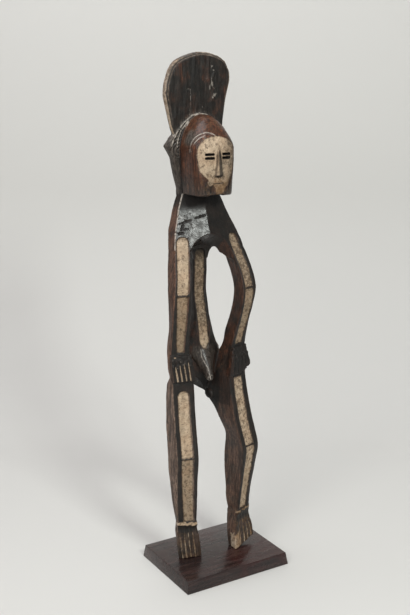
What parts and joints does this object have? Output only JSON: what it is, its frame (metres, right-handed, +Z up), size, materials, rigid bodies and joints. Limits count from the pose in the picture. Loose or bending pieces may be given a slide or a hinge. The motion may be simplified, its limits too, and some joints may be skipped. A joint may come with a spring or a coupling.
{
  "type": "carved standing figure on a plinth",
  "caption": "Carved wooden standing figure with fan crest, recessed white-painted limb strips and hands on its hips, on a rectangular board plinth.",
  "frame": {"origin": "centre of the plinth's underside", "axes": "+Z up along the figure, which faces -Y; +X is towards the figure's own left"},
  "size_m": [0.19, 0.148, 0.813],
  "materials": {
    "figure_wood": "dark brown-black patinated hardwood, satin and worn, with cream kaolin paint in the sunk strips and face",
    "plinth_wood": "dark stained satin board"
  },
  "bodies": {
    "root": {"figure": "figure_wood", "plinth": "plinth_wood"}
  },
  "joints": []
}
